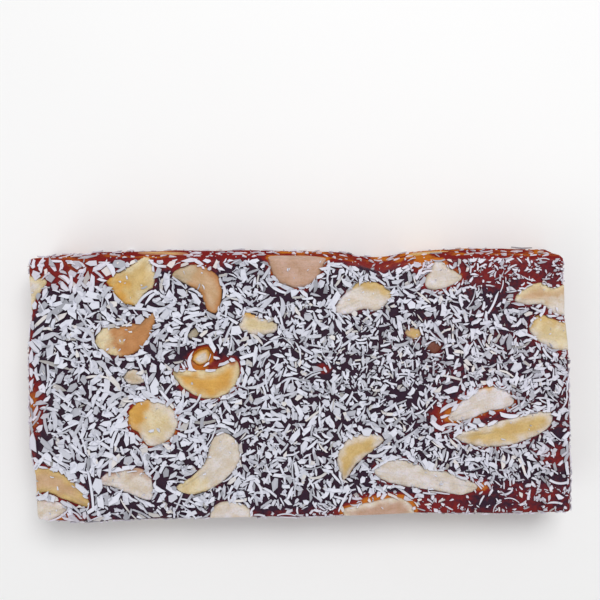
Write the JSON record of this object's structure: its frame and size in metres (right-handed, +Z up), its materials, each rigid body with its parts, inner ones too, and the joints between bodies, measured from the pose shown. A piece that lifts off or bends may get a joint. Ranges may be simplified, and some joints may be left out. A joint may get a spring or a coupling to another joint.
{
  "type": "nut confection slab",
  "caption": "Flat rectangular slab of dark red fruit paste set with nuts and coated in coconut shreds, lying face up to be sliced, served or packed.",
  "frame": {"origin": "middle of the underside, on the surface the slab lies on", "axes": "+X along the slab, +Y towards the long side whose cut leans outwards, +Z up out of the coated face"},
  "size_m": [0.1106, 0.056, 0.0148],
  "materials": {
    "paste": "glossy, translucent dark red paste under white shreds",
    "nut_golden": "satin, toasted golden kernel",
    "nut_tan": "satin, tan kernel",
    "nut_rose": "satin, pinkish kernel",
    "nut_cream": "satin, cream kernel",
    "nut_white": "matte, pale kernel",
    "nut_brown": "satin, brown kernel",
    "nut_amber": "satin, amber kernel"
  },
  "bodies": {
    "root": {"paste": "paste", "nut_face_01": "nut_golden", "nut_face_02": "nut_tan", "nut_face_03": "nut_rose", "nut_face_04": "nut_cream", "nut_face_05": "nut_white", "nut_face_06": "nut_golden", "nut_face_07": "nut_tan", "nut_face_08": "nut_brown", "nut_face_09": "nut_cream", "nut_face_10": "nut_amber", "nut_face_11": "nut_cream", "nut_face_12": "nut_golden", "nut_face_13": "nut_white", "nut_face_14": "nut_tan", "nut_face_15": "nut_cream", "nut_face_16": "nut_rose", "nut_face_17": "nut_cream", "nut_face_18": "nut_tan", "nut_face_19": "nut_cream", "nut_face_20": "nut_tan", "nut_face_21": "nut_white", "nut_face_22": "nut_golden", "nut_face_23": "nut_cream", "nut_face_24": "nut_brown", "nut_face_25": "nut_cream", "nut_face_26": "nut_cream", "nut_face_27": "nut_tan", "nut_base_01": "nut_golden", "nut_base_02": "nut_cream", "nut_base_03": "nut_tan", "nut_base_04": "nut_white", "nut_base_05": "nut_cream", "nut_base_06": "nut_golden", "nut_base_07": "nut_rose", "nut_base_08": "nut_tan", "nut_side_01": "nut_cream", "nut_side_02": "nut_golden", "nut_side_03": "nut_amber", "nut_side_04": "nut_golden", "nut_side_05": "nut_cream", "nut_side_06": "nut_golden"}
  },
  "joints": []
}
